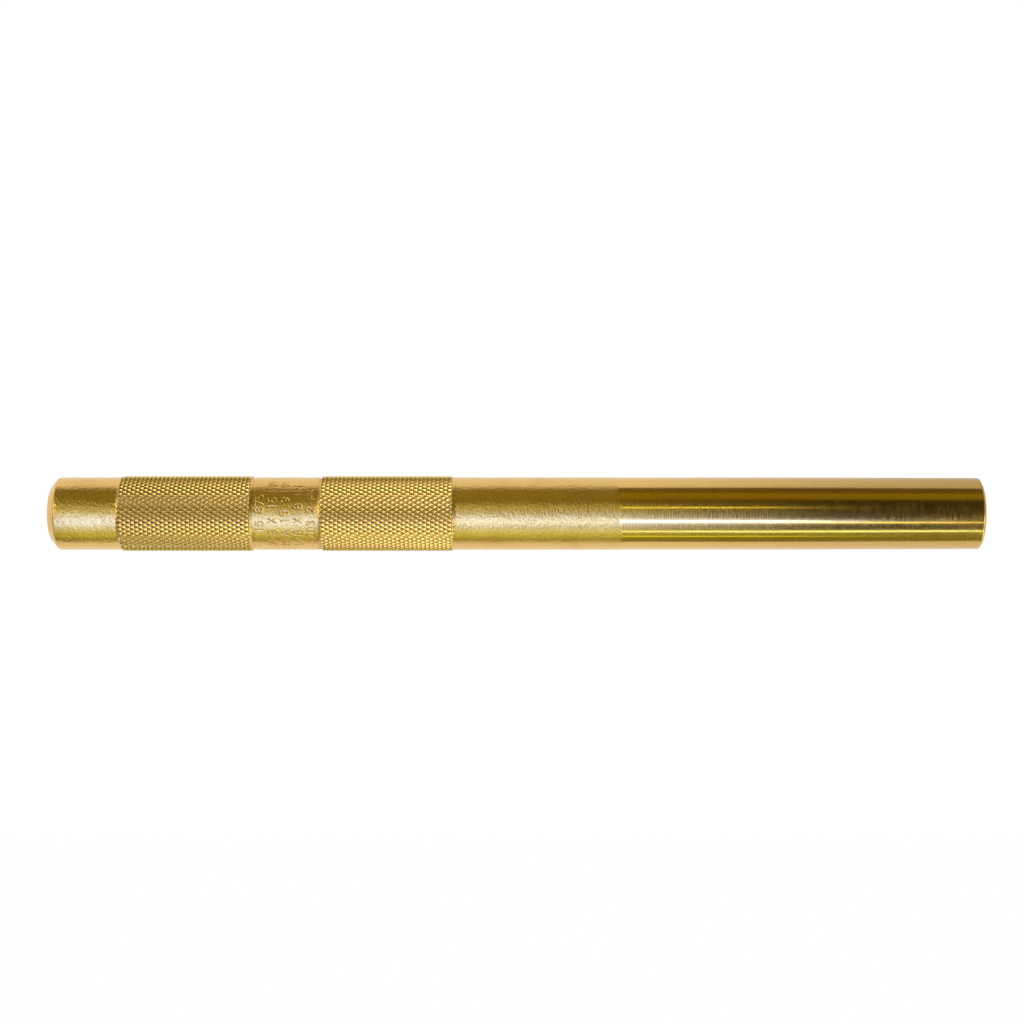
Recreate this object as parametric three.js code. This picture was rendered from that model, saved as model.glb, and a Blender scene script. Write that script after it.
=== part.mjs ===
// A brass drift punch: one piece of round drawn bar, turned to length, chamfered where the hammer lands,
// trued and tapered slightly at the working end, and rolled with two bands of diamond knurling for the grip.
// Millimetres, +Z up. The bar lies along X on the plane z = 0, with the working end at +X.
// The origin is at mid-length, on the line where the ends of the knurled bands touch the bench.
import * as THREE from "three";

// Driving dimensions.
const LENGTH = 203.2; // overall, 8 inches
const BAR_DIAMETER = 15.875; // drawn bar, 5/8 inch
const STRUCK_CHAMFER = { along: 1.7, deep: 2.0 }; // keeps a hammered end from mushrooming
const WORKING_EDGE = { along: 0.5, deep: 0.8 }; // broken edge round the working face
const WORKING_DIAMETER = 15.6; // at the working end of the taper
const TAPER_LENGTH = 47; // trued end of the bar, which narrows to the working diameter
const STRUCK_LAND = 15.5; // plain bar between the struck face and the first knurled band
const KNURL_WIDTH = 28.6; // each knurled band
const MARKING_LAND = 15.1; // plain bar between the two bands, where the size is stamped
const KNURL_STARTS = 49; // grooves round the bar, in each of the two hands
const KNURL_HELIX = THREE.MathUtils.degToRad(30); // between a groove and the bar's axis
const CREST_RADIUS = 8.165; // rolling raises the diamonds above the bar
const GROOVE_RADIUS = 7.75;
const SHOULDER_RADIUS = 8.21; // at each end of a band, just clear of the crests

// Worked out from them.
const BAR_RADIUS = BAR_DIAMETER / 2;
const STRUCK_X = -LENGTH / 2;
const WORKING_X = LENGTH / 2;
const AXIS_HEIGHT = SHOULDER_RADIUS; // the bar rests on the ends of its knurled bands
const PLAIN_SEGMENTS = 32; // few enough for the solid to lie still
const KNURL_SEGMENTS = 2 * KNURL_STARTS; // a crest and a groove crossing take turns round a ring
const GROOVE_PITCH = (2 * Math.PI * CREST_RADIUS) / KNURL_STARTS;
const RING_STEP = GROOVE_PITCH / (2 * Math.tan(KNURL_HELIX)); // half a diamond's length
const KNURL_RINGS = Math.floor(KNURL_WIDTH / RING_STEP) - 2; // whole steps, with room for the run-out
const RUN_OUT = (KNURL_WIDTH - KNURL_RINGS * RING_STEP) / 2; // where each groove fades into plain bar

const positions = [];
const triangles = [];

// A ring of points round the bar's axis at one station. radiusAt gives the radius of point i.
function ring(x, segments, radiusAt) {
  const first = positions.length / 3;
  for (let i = 0; i < segments; i++) {
    const angle = (2 * Math.PI * i) / segments;
    const radius = radiusAt(i);
    positions.push(x, radius * Math.sin(angle), AXIS_HEIGHT + radius * Math.cos(angle));
  }
  return { segments, at: (i) => first + (i % segments) };
}

const plainRing = (x, radius) => ring(x, PLAIN_SEGMENTS, () => radius);

// Crests stand where i + row is odd, and two grooves cross where it is even.
const isCrest = (i, row) => (i + row) % 2 === 1;

function knurlRing(x, row) {
  return ring(x, KNURL_SEGMENTS, (i) => (isCrest(i, row) ? CREST_RADIUS : GROOVE_RADIUS));
}

// Joins ring a to ring b, which lies at +X of it, or round it on a shoulder. Each triangle stands on the
// ring whose next point comes first round the bar.
function skin(a, b) {
  let [i, j] = [0, 0];
  while (i < a.segments || j < b.segments) {
    if ((i + 1) * b.segments <= (j + 1) * a.segments) {
      triangles.push(a.at(i), b.at(j), a.at(i + 1));
      i++;
    } else {
      triangles.push(a.at(i), b.at(j), b.at(j + 1));
      j++;
    }
  }
}

// Joins two knurl rings. Each cell's diagonal is the bottom of a groove, so it runs between the crossings.
function skinKnurl(a, b, row) {
  for (let i = 0; i < KNURL_SEGMENTS; i++) {
    const [p, q, r, s] = [a.at(i), b.at(i), b.at(i + 1), a.at(i + 1)];
    if (isCrest(i, row)) triangles.push(p, q, s, q, r, s);
    else triangles.push(p, q, r, p, r, s);
  }
}

// Closes the bar with a flat face that looks along +X or -X.
function endFace(rim, x, lookingForward) {
  const centre = positions.length / 3;
  positions.push(x, 0, AXIS_HEIGHT);
  for (let i = 0; i < rim.segments; i++) {
    const [from, to] = lookingForward ? [rim.at(i + 1), rim.at(i)] : [rim.at(i), rim.at(i + 1)];
    triangles.push(centre, from, to);
  }
}

// One knurled band, from a plain ring to a plain ring. Its grooves fade out at a shoulder at each end.
// Returns the plain ring that ends it.
function knurledBand(before, startX) {
  const firstX = startX + RUN_OUT;
  const endX = startX + KNURL_WIDTH;
  const firstShoulder = plainRing(startX, SHOULDER_RADIUS);
  skin(before, firstShoulder);
  let last = knurlRing(firstX, 0);
  skin(firstShoulder, last);
  for (let row = 0; row < KNURL_RINGS; row++) {
    const next = knurlRing(firstX + (row + 1) * RING_STEP, row + 1);
    skinKnurl(last, next, row);
    last = next;
  }
  const lastShoulder = plainRing(endX, SHOULDER_RADIUS);
  skin(last, lastShoulder);
  const after = plainRing(endX, BAR_RADIUS);
  skin(lastShoulder, after);
  return after;
}

// The bar, from the struck face to the working face.
const struckRim = plainRing(STRUCK_X, BAR_RADIUS - STRUCK_CHAMFER.deep);
endFace(struckRim, STRUCK_X, false);
const struckLand = plainRing(STRUCK_X + STRUCK_CHAMFER.along, BAR_RADIUS);
skin(struckRim, struckLand);

const rearKnurlX = STRUCK_X + STRUCK_LAND;
const rearKnurlStart = plainRing(rearKnurlX, BAR_RADIUS);
skin(struckLand, rearKnurlStart);
const rearKnurlEnd = knurledBand(rearKnurlStart, rearKnurlX);

const frontKnurlX = rearKnurlX + KNURL_WIDTH + MARKING_LAND;
const frontKnurlStart = plainRing(frontKnurlX, BAR_RADIUS);
skin(rearKnurlEnd, frontKnurlStart);
const frontKnurlEnd = knurledBand(frontKnurlStart, frontKnurlX);

const taperStart = plainRing(WORKING_X - TAPER_LENGTH, BAR_RADIUS);
skin(frontKnurlEnd, taperStart);
const workingRadius = WORKING_DIAMETER / 2;
const taperEnd = plainRing(WORKING_X - WORKING_EDGE.along, workingRadius);
skin(taperStart, taperEnd);
const workingRim = plainRing(WORKING_X, workingRadius - WORKING_EDGE.deep);
skin(taperEnd, workingRim);
endFace(workingRim, WORKING_X, true);

const surface = new THREE.BufferGeometry();
surface.setAttribute("position", new THREE.Float32BufferAttribute(positions, 3));
surface.setIndex(triangles);
surface.computeVertexNormals();

const brass = new THREE.MeshStandardMaterial({ color: 0xcdb05a, roughness: 0.3, metalness: 1.0 });
const bar = new THREE.Mesh(surface, brass);
bar.name = "drift_bar";

const driftPunch = new THREE.Group();
driftPunch.add(bar);

export default driftPunch;
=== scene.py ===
import math

import bpy
import numpy as np
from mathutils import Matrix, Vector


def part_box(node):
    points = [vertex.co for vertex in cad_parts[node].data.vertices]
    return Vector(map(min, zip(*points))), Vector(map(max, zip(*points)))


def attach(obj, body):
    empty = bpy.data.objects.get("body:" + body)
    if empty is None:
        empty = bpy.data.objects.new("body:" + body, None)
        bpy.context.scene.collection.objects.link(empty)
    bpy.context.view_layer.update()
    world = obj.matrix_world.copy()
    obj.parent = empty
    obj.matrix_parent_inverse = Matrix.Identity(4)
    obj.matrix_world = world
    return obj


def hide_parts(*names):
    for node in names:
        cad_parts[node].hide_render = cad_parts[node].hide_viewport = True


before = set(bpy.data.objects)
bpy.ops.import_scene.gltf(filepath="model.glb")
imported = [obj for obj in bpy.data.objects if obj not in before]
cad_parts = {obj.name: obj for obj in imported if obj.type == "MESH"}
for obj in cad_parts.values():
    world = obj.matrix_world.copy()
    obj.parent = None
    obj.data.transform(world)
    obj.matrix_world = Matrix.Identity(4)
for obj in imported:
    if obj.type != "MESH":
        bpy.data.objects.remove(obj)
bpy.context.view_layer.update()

# ---------------------------------------------------------------------------------------------------------
# The blank: one length of round drawn brass bar, lying along X with the end that is struck at -X.
# Everything else on the tool is turned, rolled or stamped into it, so the tool stays one closed piece.
# A place along the bar is measured from the struck face, in metres, like everything here.

MM = 0.001
LOW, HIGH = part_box("drift_bar")
STRUCK_X, LENGTH = LOW.x, HIGH.x - LOW.x
CREST_RADIUS = (HIGH.z - LOW.z) / 2
AXIS_HEIGHT = LOW.z + CREST_RADIUS
BAR_RADIUS = 15.875 / 2 * MM

# ---------------------------------------------------------------------------------------------------------
# The struck end: sawn and faced flat, with a broad chamfer so that hammering doesn't mushroom it.
# Its two corners are worn a little round. The outline runs outwards from the centre of the face.

STRUCK_FACE_RADIUS = BAR_RADIUS - 2.0 * MM
STRUCK_CHAMFER_END = 1.7 * MM
STRUCK_WEAR = 0.45 * MM


def worn_corner(before, corner, after, radius, steps=5):
    """An arc of that radius, tangent to both lines that meet at a corner. Points are (along, radius)."""
    before, corner, after = (np.array(p, float) for p in (before, corner, after))
    back, on = before - corner, after - corner
    back, on = back / np.linalg.norm(back), on / np.linalg.norm(on)
    half = math.acos(np.clip(back @ on, -1, 1)) / 2
    middle = (back + on) / np.linalg.norm(back + on)
    centre = corner + middle * radius / math.sin(half)
    turn = np.linspace(-1, 1, steps)[:, None] * (math.pi / 2 - half)
    side = np.array([-middle[1], middle[0]])
    if side @ on < 0:
        side = -side
    return centre + radius * (-middle * np.cos(turn) + side * np.sin(turn))


face_centre, face_rim = (0, 0), (0, STRUCK_FACE_RADIUS)
chamfer_end, land_start = (STRUCK_CHAMFER_END, BAR_RADIUS), (4 * MM, BAR_RADIUS)
struck_end = np.vstack([
    [(0, STRUCK_FACE_RADIUS * share) for share in (0, 0.4, 0.75)],
    worn_corner(face_centre, face_rim, chamfer_end, STRUCK_WEAR),
    worn_corner(face_rim, chamfer_end, land_start, STRUCK_WEAR),
    [land_start],
])

# ---------------------------------------------------------------------------------------------------------
# Two bands of diamond knurling for the grip, rolled in with a pair of wheels whose grooves lean 30 degrees
# to the left and to the right. The rolls raise the metal between the grooves a little above the bar.

KNURL_BANDS = ((15.5 * MM, 44.1 * MM), (59.2 * MM, 87.8 * MM))
KNURL_STARTS = 49
KNURL_HELIX = math.radians(30)
ROOT_RADIUS = 7.96 * MM
CREST_FLAT = 0.25
KNURL_RUN_OUT = 0.18 * MM
HALF_TURN_STEP = math.pi / KNURL_STARTS
HALF_LONG_STEP = HALF_TURN_STEP * CREST_RADIUS / math.tan(KNURL_HELIX)
SPLITS = np.array([0, CREST_FLAT, 1 - CREST_FLAT])


def knurl_rows(start, end):
    """The places along a band where rows of points stand: the start of each half diamond and its two
    splits, between three rows at each end for the run-out."""
    first, last = math.floor(start / HALF_LONG_STEP), math.ceil(end / HALF_LONG_STEP)
    rows = (np.arange(first, last)[:, None] + SPLITS).ravel() * HALF_LONG_STEP
    rows = rows[(rows > start + 1.3 * KNURL_RUN_OUT) & (rows < end - 1.3 * KNURL_RUN_OUT)]
    run_out = KNURL_RUN_OUT * np.array([0, 0.5, 1])
    return np.concatenate([start + run_out, rows, end - run_out[::-1]])


def knurl_radius(along, turn):
    """The radius where both sets of grooves are rolled in: it climbs with the distance to the nearer groove
    of either hand, in half steps of the pattern, until it meets the flat crest."""
    u, v = along / HALF_LONG_STEP, turn / HALF_TURN_STEP
    left, right = (np.abs(w - 2 * np.round(w / 2)) for w in (u + v, u - v))
    climb = np.minimum(np.minimum(left, right) / (1 - CREST_FLAT), 1)
    return ROOT_RADIUS + (CREST_RADIUS - ROOT_RADIUS) * climb


def smooth(x):
    """0 below 0, 1 above 1, and a smooth rise between."""
    x = np.clip(x, 0, 1)
    return x * x * (3 - 2 * x)


def knurl_share(along):
    """How far the knurling is rolled in: 0 off the bands and 1 on them, fading over each end's run-out."""
    return sum(
        smooth((along - start) / KNURL_RUN_OUT) * smooth((end - along) / KNURL_RUN_OUT)
        for start, end in KNURL_BANDS
    )


# ---------------------------------------------------------------------------------------------------------
# The marking land between the bands, where the maker's press stamps the size of the tool round the bar.
# Each line is a row of single-stroke figures, a groove with sloping walls. A figure is four units wide
# and six high, and its strokes are straight runs and arcs.

LINE_PITCH = 2.79 * MM
LETTER_HEIGHT = 1.75 * MM
LETTER_UNIT = LETTER_HEIGHT / 6
LETTER_ADVANCE = 5.1 * LETTER_UNIT
STROKE_HALF_WIDTH = 0.12 * MM
STROKE_DEPTH = 0.10 * MM
STAMPED_LINES = ("15.875", "203 X 16 MM", "DIA 15.9 MM", "5/8 X 8 IN.", "203.2 MM")


def arc(x, y, wide, high, start, stop, steps=9):
    """Points on an ellipse about (x, y), from one angle in degrees to another, counter-clockwise from +X."""
    a = np.radians(np.linspace(start, stop, steps))
    return np.column_stack([x + wide * np.cos(a), y + high * np.sin(a)])


FIGURES = {
    "0": [arc(2, 3, 1.8, 3, 0, 360, 17)],
    "1": [[(1, 5), (2.2, 6), (2.2, 0)]],
    "2": [np.vstack([arc(2, 4.3, 1.8, 1.7, 170, -35), [(0.2, 0), (3.9, 0)]])],
    "3": [arc(2, 4.5, 1.7, 1.5, 150, -90), arc(2, 1.6, 1.9, 1.6, 90, -150)],
    "5": [np.vstack([[(3.6, 6), (0.7, 6), (0.5, 3.3)], arc(2, 1.9, 1.8, 1.9, 120, -145)])],
    "6": [np.vstack([arc(2.6, 3.2, 2.4, 2.8, 80, 180), arc(2, 1.8, 1.8, 1.8, 180, 540, 17)])],
    "7": [[(0.2, 6), (3.8, 6), (1.4, 0)]],
    "8": [arc(2, 4.6, 1.5, 1.4, 0, 360, 13), arc(2, 1.6, 1.9, 1.6, 0, 360, 17)],
    "9": [np.vstack([arc(2, 4.2, 1.8, 1.8, 0, 360, 17), arc(1.4, 2.8, 2.4, 2.8, 0, -100)])],
    "A": [[(0, 0), (2, 6), (4, 0)], [(0.7, 2), (3.3, 2)]],
    "D": [np.vstack([[(0.4, 0), (0.4, 6)], arc(1.8, 3, 2, 3, 90, -90), [(0.4, 0)]])],
    "I": [[(2, 0), (2, 6)]],
    "M": [[(0, 0), (0.3, 6), (2, 2), (3.7, 6), (4, 0)]],
    "N": [[(0.2, 0), (0.2, 6), (3.8, 0), (3.8, 6)]],
    "X": [[(0.2, 0), (3.8, 6)], [(0.2, 6), (3.8, 0)]],
    "/": [[(0.4, 0), (3.6, 6)]],
    ".": [[(2, 0), (2.1, 0.1)]],
}
MARKING_MIDDLE = (KNURL_BANDS[0][1] + KNURL_BANDS[1][0]) / 2
LINE_MIDDLES = MARKING_MIDDLE + LINE_PITCH * (np.arange(len(STAMPED_LINES)) - 2)


def stamped_strokes():
    """Every stroke's straight runs, as (start, end) points of (along, round the bar). A line of text reads
    towards +Y with the tops of its figures towards the struck end."""
    runs = []
    for middle, text in zip(LINE_MIDDLES, STAMPED_LINES):
        first = -LETTER_ADVANCE * (len(text) - 1) / 2 - 2 * LETTER_UNIT
        for place, figure in enumerate(text):
            for stroke in FIGURES.get(figure, []):
                x, y = np.array(stroke, float).T
                points = np.column_stack([
                    middle + LETTER_HEIGHT / 2 - y * LETTER_UNIT,
                    first + LETTER_ADVANCE * place + x * LETTER_UNIT,
                ])
                runs += zip(points[:-1], points[1:])
    return np.array(runs)


def stamped_depth(along, round_bar):
    """How deep the stamp is at each point: full depth on a stroke, rising to nothing half a stroke away.
    The distance to a run is the distance to its nearest point, found by projecting onto it."""
    place = np.stack([along, round_bar], axis=-1)
    nearest = np.full(along.shape, np.inf)
    for start, end in stamped_strokes():
        run = end - start
        share = np.clip((place - start) @ run / (run @ run), 0, 1)
        nearest = np.minimum(nearest, np.linalg.norm(place - start - share[..., None] * run, axis=-1))
    return STROKE_DEPTH * smooth(1 - nearest / (1.4 * STROKE_HALF_WIDTH))


LINE_REACH = LETTER_HEIGHT / 2 + 0.25 * MM
ROWS_PER_LINE = 18
marking_rows = (LINE_MIDDLES[:, None] + np.linspace(-LINE_REACH, LINE_REACH, ROWS_PER_LINE)).ravel()

# ---------------------------------------------------------------------------------------------------------
# The working end: trued in a lathe over its last 79 mm, a touch smaller at the very end, and faced square
# with a small broken edge. The rest of the shank keeps its drawn skin.

TRUED_LENGTH = 79.2 * MM
TAPER_START = LENGTH - 47 * MM
WORKING_RADIUS = 15.6 / 2 * MM
working_corner, working_rim = (LENGTH - 0.5 * MM, WORKING_RADIUS), (LENGTH, WORKING_RADIUS - 0.8 * MM)
working_face_centre = (LENGTH, 0)
shank = [(place, BAR_RADIUS) for place in np.linspace(KNURL_BANDS[1][1] + 1 * MM, TAPER_START, 7)]
working_end = np.vstack([
    shank,
    worn_corner(shank[-1], working_corner, working_rim, 0.4 * MM),
    worn_corner(working_corner, working_rim, working_face_centre, 0.3 * MM),
    [(LENGTH, working_rim[1] * share) for share in (0.75, 0.4, 0)],
])

# ---------------------------------------------------------------------------------------------------------
# The bar's skin: rows of points along it, each a ring of columns round it. The columns stand where the
# knurling needs them, and draw together over the top of the marking land, where the figures are.

COLUMNS = (np.arange(2 * KNURL_STARTS)[:, None] + SPLITS).ravel() * HALF_TURN_STEP - math.pi
CROWDING = 0.4
LAND_BLEND = 0.8 * MM
KNURL_SHARP_FROM = math.radians(22)

knurled_rows = [knurl_rows(*band) for band in KNURL_BANDS]
plain_rows = [(4.5 + 3.5 * i) * MM for i in range(4)]
straight = np.concatenate([plain_rows, knurled_rows[0], marking_rows, knurled_rows[1]])
plain_bar = np.column_stack([straight, np.full(len(straight), BAR_RADIUS)])
outline = np.vstack([struck_end, plain_bar, working_end])[1:-1]
along, plain_radius = (column[:, None] for column in outline.T)

marking_start, marking_end = KNURL_BANDS[0][1], KNURL_BANDS[1][0]
on_land = smooth((along - marking_start) / LAND_BLEND) * smooth((marking_end - along) / LAND_BLEND)
even = (np.arange(len(COLUMNS)) / len(COLUMNS) * 2 - 1) * math.pi
turn = COLUMNS + on_land * (even - COLUMNS - CROWDING * np.sin(even))
rolled_in = knurl_share(along)
radius = plain_radius + rolled_in * (knurl_radius(along, turn) - plain_radius)
radius = radius - on_land * stamped_depth(along + 0 * turn, BAR_RADIUS * turn)

rings = np.stack([
    STRUCK_X + along + 0 * turn,
    radius * np.sin(turn),
    AXIS_HEIGHT + radius * np.cos(turn),
], axis=-1)
row_count, column_count = turn.shape
poles = [(STRUCK_X, 0, AXIS_HEIGHT), (STRUCK_X + LENGTH, 0, AXIS_HEIGHT)]
points = np.vstack([rings.reshape(-1, 3), poles])


def skin_triangles():
    """Two triangles for each cell between rows and columns, cut along the groove that crosses it, and a
    fan at each pole. A groove of one hand crosses the half diamonds whose numbers add up to an even one."""
    row, column = np.meshgrid(np.arange(row_count - 1), np.arange(column_count), indexing="ij")
    after = (column + 1) % column_count
    a, b = row * column_count + column, (row + 1) * column_count + column
    c, d = (row + 1) * column_count + after, row * column_count + after
    middle = (along[:-1] + along[1:]) / 2
    half_diamond = np.floor(middle / HALF_LONG_STEP) + column // len(SPLITS) - KNURL_STARTS
    rising = half_diamond % 2 == 0
    first = np.where(rising[..., None], np.stack([a, b, c], -1), np.stack([a, b, d], -1))
    second = np.where(rising[..., None], np.stack([a, c, d], -1), np.stack([b, c, d], -1))
    ring, following = np.arange(column_count), (np.arange(column_count) + 1) % column_count
    last, pole = (row_count - 1) * column_count, row_count * column_count
    struck = np.column_stack([np.full(column_count, pole), ring, following])
    working = np.column_stack([np.full(column_count, pole + 1), last + following, last + ring])
    return np.vstack([first.reshape(-1, 3), second.reshape(-1, 3), struck, working])


triangles = skin_triangles()
mesh = bpy.data.meshes.new("brass_drift_punch")
mesh.from_pydata(points, [], triangles)
mesh.shade_smooth()
bar = bpy.data.objects.new("brass_drift_punch", mesh)
bpy.context.scene.collection.objects.link(bar)

# Only the knurling has sharp edges, along the grooves and round the crests.
mesh.set_sharp_from_angle(angle=KNURL_SHARP_FROM)
ends = np.zeros(2 * len(mesh.edges), int)
mesh.edges.foreach_get("vertices", ends)
knurled = np.append(np.repeat(rolled_in.ravel() > 0.02, column_count), [False, False])
sharp = np.zeros(len(mesh.edges), bool)
mesh.attributes["sharp_edge"].data.foreach_get("value", sharp)
mesh.attributes["sharp_edge"].data.foreach_set("value", sharp & knurled[ends.reshape(-1, 2)].all(axis=1))

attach(bar, "root")
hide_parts("drift_bar")

# ---------------------------------------------------------------------------------------------------------
# Brass: bare metal, with no lacquer. The drawn skin is finely pitted and a little tarnished, and the struck
# end is dented too. The trued end is bright, with the fine rings of the lathe. The knurling is painted
# darker in its grooves, partly for dirt and partly as painted shade, and paler over its crests, partly for
# wear and partly as painted highlight. The stamp's grooves are painted darker as painted shade.


class Wire:
    """An output socket of a shader's node. Arithmetic on wires and numbers adds Math nodes."""

    def __init__(self, tree, socket=None):
        self.tree, self.socket = tree, socket

    def node(self, kind, settings=None, inputs=None, output=0):
        """Adds a node, first with its settings and then with its sockets' values or links."""
        made = self.tree.nodes.new("ShaderNode" + kind)
        for name, value in (settings or {}).items():
            setattr(made, name, value)
        for name, value in (inputs or {}).items():
            if isinstance(value, Wire):
                self.tree.links.new(value.socket, made.inputs[name])
            else:
                made.inputs[name].default_value = value
        return None if output is None else Wire(self.tree, made.outputs[output])

    def out(self, name):
        """Another output of the same node."""
        return Wire(self.tree, self.socket.node.outputs[name])

    def feed(self, socket):
        self.tree.links.new(self.socket, socket)

    def math(self, operation, *values):
        return self.node("Math", {"operation": operation}, dict(enumerate(values)))

    def __add__(self, other):
        return self.math("ADD", self, other)

    def __sub__(self, other):
        return self.math("SUBTRACT", self, other)

    def __rsub__(self, other):
        return self.math("SUBTRACT", other, self)

    def __mul__(self, other):
        return self.math("MULTIPLY", self, other)

    def __truediv__(self, other):
        return self.math("DIVIDE", self, other)

    __radd__, __rmul__ = __add__, __mul__

    def rise(self, start, end):
        """0 at the start and 1 at the end, and a smooth rise between."""
        ends = {"Value": self, "From Min": start, "From Max": end}
        return self.node("MapRange", {"interpolation_type": "SMOOTHSTEP"}, ends)

    def between(self, start, end, edge):
        """1 between two values, with soft edges that are centred on them."""
        up, down = self.rise(start - edge, start + edge), self.rise(end - edge, end + edge)
        return up * (1 - down)

    def towards(self, other, share):
        """This value where the share is 0, and the other where it is 1."""
        return self + (other - self) * share

    def tint(self, low, high):
        """One colour where this share is 0, and the other where it is 1."""
        return self.node("Mix", {"data_type": "RGBA"}, {0: self, 6: low, 7: high}, output=2)

    def noise(self, size, detail=2.0):
        """Cloudy noise about 0.5, with lumps of that size."""
        return self.node("TexNoise", None, {"Vector": self, "Scale": 1 / size, "Detail": detail})


CLEAN = (0.72, 0.455, 0.137, 1)
TARNISHED = (0.62, 0.36, 0.095, 1)
# The knurling's colours: paler over the crests, partly wear and partly painted highlight, and darker in the
# groove bottoms, partly dirt and partly painted shade.
WORN_CREST_AND_HIGHLIGHT = (0.78, 0.54, 0.21, 1)
KNURL_DIRT_AND_SHADE = (0.58, 0.37, 0.11, 1)
# Painted shade in the stamped strokes.
STAMP_PAINTED_SHADE = (0.62, 0.32, 0.11, 1)
TRUED_START = LENGTH - TRUED_LENGTH
TRUED_SLANT = 0.5 * MM / BAR_RADIUS  # the lathe's cut didn't start quite square
TRUED_BLEND = 0.7 * MM
BAND_BLEND = 0.3 * MM
STRUCK_BLEND = 0.4 * MM
LAND_INSET = 0.6 * MM
PIT_SIZE, PIT_HEIGHT = 0.5 * MM, 0.075 * MM
WAVE_SIZE, WAVE_HEIGHT = 1.6 * MM, 0.03 * MM
RING_WIDTH, RING_REACH, RING_HEIGHT = 0.22 * MM, 3 * MM, 0.009 * MM
DENT_SIZE, DENT_DEPTH = 1.3 * MM, 0.02 * MM
STAMP_FLOOR = (0.045 * MM, 0.09 * MM)

material = bpy.data.materials.new("bare_brass")
material.use_nodes = True
tree = material.node_tree
shader = tree.nodes["Principled BSDF"]
place = Wire(tree).node("TexCoord", output="Object")
split = place.node("SeparateXYZ", None, {0: place})
x, y, z = (split.out(axis) for axis in "XYZ")
from_struck, above = x - STRUCK_X, z - AXIS_HEIGHT
off_axis = place.math("SQRT", y * y + above * above)
round_bar = place.math("ARCTAN2", y, above) * BAR_RADIUS

# Each is 1 where the bar has that finish and 0 elsewhere.
knurled = sum(from_struck.between(*band, BAND_BLEND) for band in KNURL_BANDS)
marked = from_struck.between(marking_start + LAND_INSET, marking_end - LAND_INSET, BAND_BLEND)
struck = 1 - from_struck.rise(KNURL_BANDS[0][0] - STRUCK_BLEND, KNURL_BANDS[0][0])
cut_line = from_struck + round_bar * TRUED_SLANT
trued = cut_line.rise(TRUED_START - TRUED_BLEND, TRUED_START + TRUED_BLEND)

# The drawn skin: a grain too fine to see, and shallow pits on slow waves.
grain = place.noise(0.07 * MM)
pits = place.noise(PIT_SIZE, 3.0)
waves = place.noise(WAVE_SIZE)
matte = grain.rise(0.38, 0.52)
# The lathe's rings, which run round the bar and, on the faces, round the centre.
cut = (from_struck - off_axis) / RING_WIDTH
ring = place.node("CombineXYZ", None, {"X": cut, "Y": round_bar / RING_REACH})
rings = ring.node("TexNoise", {"noise_dimensions": "2D"}, {"Vector": ring, "Scale": 1.0, "Detail": 2.0})
ring_matte = (grain + (rings - 0.5) * 0.4).rise(0.46, 0.60)
# Hammer dents in the struck end, a little over a millimetre apart.
dent_cells = place.node("TexVoronoi", None, {"Vector": place, "Scale": 1 / DENT_SIZE})
dents = 1 - dent_cells.rise(0.15, 0.45)

knurl_height = off_axis.rise(ROOT_RADIUS, CREST_RADIUS)
# Darker towards the knurling's groove bottoms: partly dirt, partly painted shade.
knurl_dirt_and_shade = 1 - knurl_height.rise(0.0, 0.4)
# Painted shade: the stamped strokes are painted darker towards their floors.
stamp_painted_shade = marked * (BAR_RADIUS - off_axis).rise(*STAMP_FLOOR)
patches = place.noise(7 * MM, 3.0).rise(0.42, 0.66)

drawn_roughness = 0.17 + 0.14 * matte
trued_roughness = 0.10 + 0.16 * ring_matte
struck_roughness = 0.16 + 0.12 * matte
marked_roughness = 0.19 + 0.14 * matte
knurl_roughness = 0.22 + 0.1 * knurl_dirt_and_shade
roughness = drawn_roughness.towards(trued_roughness, trued).towards(struck_roughness, struck)
roughness = roughness.towards(marked_roughness, marked).towards(knurl_roughness, knurled)
roughness.feed(shader.inputs["Roughness"])

tarnish = patches * (1 - 0.75 * trued) * 0.45
colour = tarnish.tint(CLEAN, TARNISHED)
# The knurling is painted paler on its crests, part painted highlight, and darker in its grooves, part
# painted shade.
knurl_colour = knurl_dirt_and_shade.tint(WORN_CREST_AND_HIGHLIGHT, KNURL_DIRT_AND_SHADE)
colour = knurled.tint(colour, knurl_colour)
colour = stamp_painted_shade.tint(colour, STAMP_PAINTED_SHADE)
colour.feed(shader.inputs["Base Color"])

# Heights are in metres, about the smooth bar. The knurling is real relief, so it has none.
drawn_height = (pits - 0.5) * PIT_HEIGHT + (waves - 0.5) * WAVE_HEIGHT
trued_height = (rings - 0.5) * RING_HEIGHT
struck_height = drawn_height * 0.9 - dents * DENT_DEPTH
height = drawn_height.towards(trued_height, trued).towards(struck_height, struck) * (1 - knurled)
relief = place.node("Bump", None, {"Height": height, "Strength": 1.0, "Distance": 1.0})
relief.feed(shader.inputs["Normal"])
shader.inputs["Metallic"].default_value = 1.0
mesh.materials.append(material)

# ---------------------------------------------------------------------------------------------------------
# The bench: a sheet of plain white card, lit so evenly that it shows no shadow. Its near edge is close to
# the tool, whose flank mirrors the darker room beyond it. In the tool's reflections the card's glow is
# painted duller towards the working end, as painted shade; the camera sees it plain white.

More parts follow.
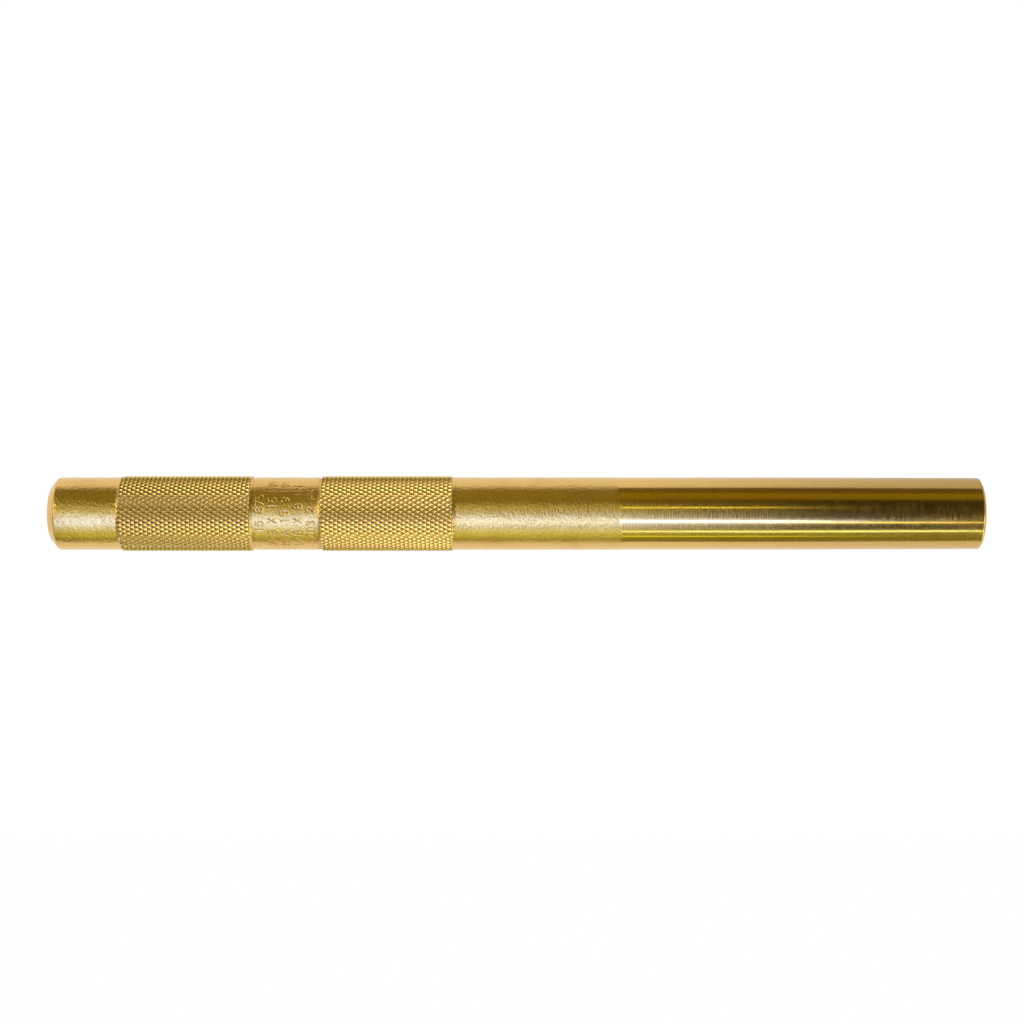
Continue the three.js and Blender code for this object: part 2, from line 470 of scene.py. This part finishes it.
CARD_END, CARD_NEAR, CARD_FAR, CARD_TOP = 0.8, -0.072, 1.2, -0.02 * MM
CARD_WHITE, CARD_PAINTED_SHADE = (1, 1, 1, 1), (0.55, 0.55, 0.55, 1)
bench_mesh = bpy.data.meshes.new("card")
corners = [(-CARD_END, CARD_NEAR), (CARD_END, CARD_NEAR), (CARD_END, CARD_FAR), (-CARD_END, CARD_FAR)]
bench_mesh.from_pydata([(*corner, CARD_TOP) for corner in corners], [], [(0, 1, 2, 3)])
bench = bpy.data.objects.new("card", bench_mesh)
bpy.context.scene.collection.objects.link(bench)
card = bpy.data.materials.new("white_card")
card.use_nodes = True
card_shader = card.node_tree.nodes["Principled BSDF"]
card_shader.inputs["Base Color"].default_value = (0.15, 0.15, 0.15, 1)
card_shader.inputs["Roughness"].default_value = 0.9
card_shader.inputs["Specular IOR Level"].default_value = 0.0
card_shader.inputs["Emission Strength"].default_value = 0.96
spot = Wire(card.node_tree).node("TexCoord", output="Object")
split = spot.node("SeparateXYZ", None, {0: spot})
# Painted shade in the card's glow, seen only in reflections: duller towards the working end, half as much on
# the near side.
shade = split.out("X").rise(0.0, 0.12) * (0.5 + 0.5 * split.out("Y").rise(0.0, 0.004))
shade = shade * (1 - spot.node("LightPath", output="Is Camera Ray"))
shade.tint(CARD_WHITE, CARD_PAINTED_SHADE).feed(card_shader.inputs["Emission Color"])
bench_mesh.materials.append(card)

# ---------------------------------------------------------------------------------------------------------
# The studio: a warm room that glows softly over the struck half of the tool and is dim past the working
# end, where a few bright slots of light run along it. Only the tool sees it: the camera sees plain white.
# A direction is measured in degrees round the bar from straight up, towards +Y, and by its lean along X.

# The room's colour at each angle, on the side of the struck half and on the side of the working end.
NEAR_ROOM = (
    (-180, (0.38, 0.37, 0.09)), (-92, (0.38, 0.37, 0.09)), (-83, (0.46, 0.48, 0.08)),
    (-77, (1.40, 1.75, 0.24)), (-70, (0.80, 0.85, 0.30)), (-58, (1.10, 1.32, 0.80)),
    (-47, (1.40, 1.75, 2.2)), (-36, (1.75, 2.5, 6.0)), (-24, (1.85, 2.8, 7.5)),
    (-12, (1.65, 2.35, 5.2)), (0, (1.30, 1.55, 1.75)), (8, (1.08, 1.16, 0.85)),
    (20, (1.02, 1.04, 0.42)), (27, (0.66, 0.64, 0.24)), (38, (0.34, 0.31, 0.07)),
    (46, (0.29, 0.26, 0.03)), (62, (0.40, 0.33, 0.03)), (80, (0.30, 0.24, 0.03)),
    (180, (0.30, 0.24, 0.03)),
)
FAR_ROOM = (
    (-180, (0.22, 0.21, 0.03)), (-85, (0.22, 0.22, 0.03)), (-68, (0.26, 0.26, 0.05)),
    (-50, (0.36, 0.34, 0.22)), (-36, (0.34, 0.34, 0.42)), (-12, (0.30, 0.30, 0.38)),
    (3, (0.16, 0.15, 0.15)), (27, (0.11, 0.09, 0.02)), (41, (0.09, 0.07, 0.01)),
    (49, (0.24, 0.18, 0.01)), (64, (0.30, 0.23, 0.01)), (71, (0.15, 0.11, 0.01)),
    (80, (0.12, 0.09, 0.01)), (180, (0.12, 0.09, 0.01)),
)
FAR_DARK = (0.03, 0.025, 0.01, 1)
# Each slot's angle and width in degrees, its colour, and the leans that it starts and stops between.
SLOTS = (
    (19, 3.2, (2.7, 2.9, 0.5), (0.0, 0.05), (0.08, 0.16)),
    (-29, 2.8, (4.2, 4.4, 1.3), (0.10, 0.17), (0.34, 0.40)),
    (-59, 5.0, (2.4, 3.5, 2.7), (0.02, 0.06), (0.34, 0.40)),
    (-77, 3.0, (1.6, 2.1, 0.24), (0.02, 0.06), (0.06, 0.30)),
    (-24, 20, (0.9, 1.15, 2.2), (0.03, 0.07), (0.05, 0.20)),
    (-24.5, 8, (4.0, 5.6, 13.0), (0.03, 0.07), (0.09, 0.25)),
)
ENDS_LIT = (2.8, 2.75, 2.1, 1)
ENDS_DARK = (0.42, 0.38, 0.18, 1)
BLACK, WHITE = (0, 0, 0, 1), (1, 1, 1, 1)

world = bpy.data.worlds.new("studio")
bpy.context.scene.world = world
world.use_nodes = True
sky = world.node_tree
sky.nodes.clear()
direction = Wire(sky).node("TexCoord", output="Generated")
split = direction.node("SeparateXYZ", None, {0: direction})
x, y, z = (split.out(axis) for axis in "XYZ")
degrees = direction.math("ARCTAN2", y, z) * (180 / math.pi)
lean = x / direction.math("SQRT", y * y + z * z + 1e-6)


def room(stops):
    """The room's colour round the tool, blended between stops of (degrees, colour)."""
    turned = direction.node("MapRange", None, {"Value": degrees, "From Min": -180.0, "From Max": 180.0})
    ramp = turned.node("ValToRGB", None, {"Fac": turned})
    elements = ramp.socket.node.color_ramp.elements
    elements.remove(elements[-1])
    elements[0].position, elements[0].color = 0, (*stops[0][1], 1)
    for angle, shade in stops[1:]:
        elements.new((angle + 180) / 360).color = (*shade, 1)
    return ramp


shown = lean.rise(0.01, 0.065).tint(room(NEAR_ROOM), room(FAR_ROOM))
dark_ceiling = degrees.between(-54, 44, 5) * lean.rise(0.06, 0.19)
shown = dark_ceiling.tint(shown, FAR_DARK)
behind_struck_end = (0 - lean).rise(0.14, 0.20) * (0.42 + 0.34 * degrees.between(-2, 44, 8))
shown = behind_struck_end.tint(shown, BLACK)
# Well past both ends, light comes in from two far corners of the room that lie opposite.
steepness = lean * lean
lit_corners = (1 - (lean * (degrees + 9)).rise(-4, 4)) * (1 - degrees.rise(15, 75))
lit = lit_corners * (1 - steepness.rise(0.8, 1.3))
shown = steepness.rise(0.20, 0.28).tint(shown, lit.tint(ENDS_DARK, ENDS_LIT))
for angle, width, shade, starts, stops_at in SLOTS:
    edge = width / 8
    across = degrees.between(angle - width / 2, angle + width / 2, edge)
    shown = (across * lean.rise(*starts) * (1 - lean.rise(*stops_at))).tint(shown, (*shade, 1))
camera_ray = direction.node("LightPath", output="Is Camera Ray")
shown = camera_ray.tint(shown, WHITE)
background = direction.node("Background", None, {"Color": shown})
direction.node("OutputWorld", None, {"Surface": background}, output=None)

# ---------------------------------------------------------------------------------------------------------
# The camera looks straight down on the tool as it lies on the bench.

CAMERA_HEIGHT = 0.45  # above the bar's axis
camera = bpy.data.objects.new("camera", bpy.data.cameras.new("camera"))
bpy.context.scene.collection.objects.link(camera)
camera.data.lens = 72.14
camera.data.sensor_width = 36
camera.location = (-0.9 * MM, 0.35 * MM, AXIS_HEIGHT + CAMERA_HEIGHT)
bpy.context.scene.camera = camera
bpy.context.scene.view_settings.view_transform = "Standard"
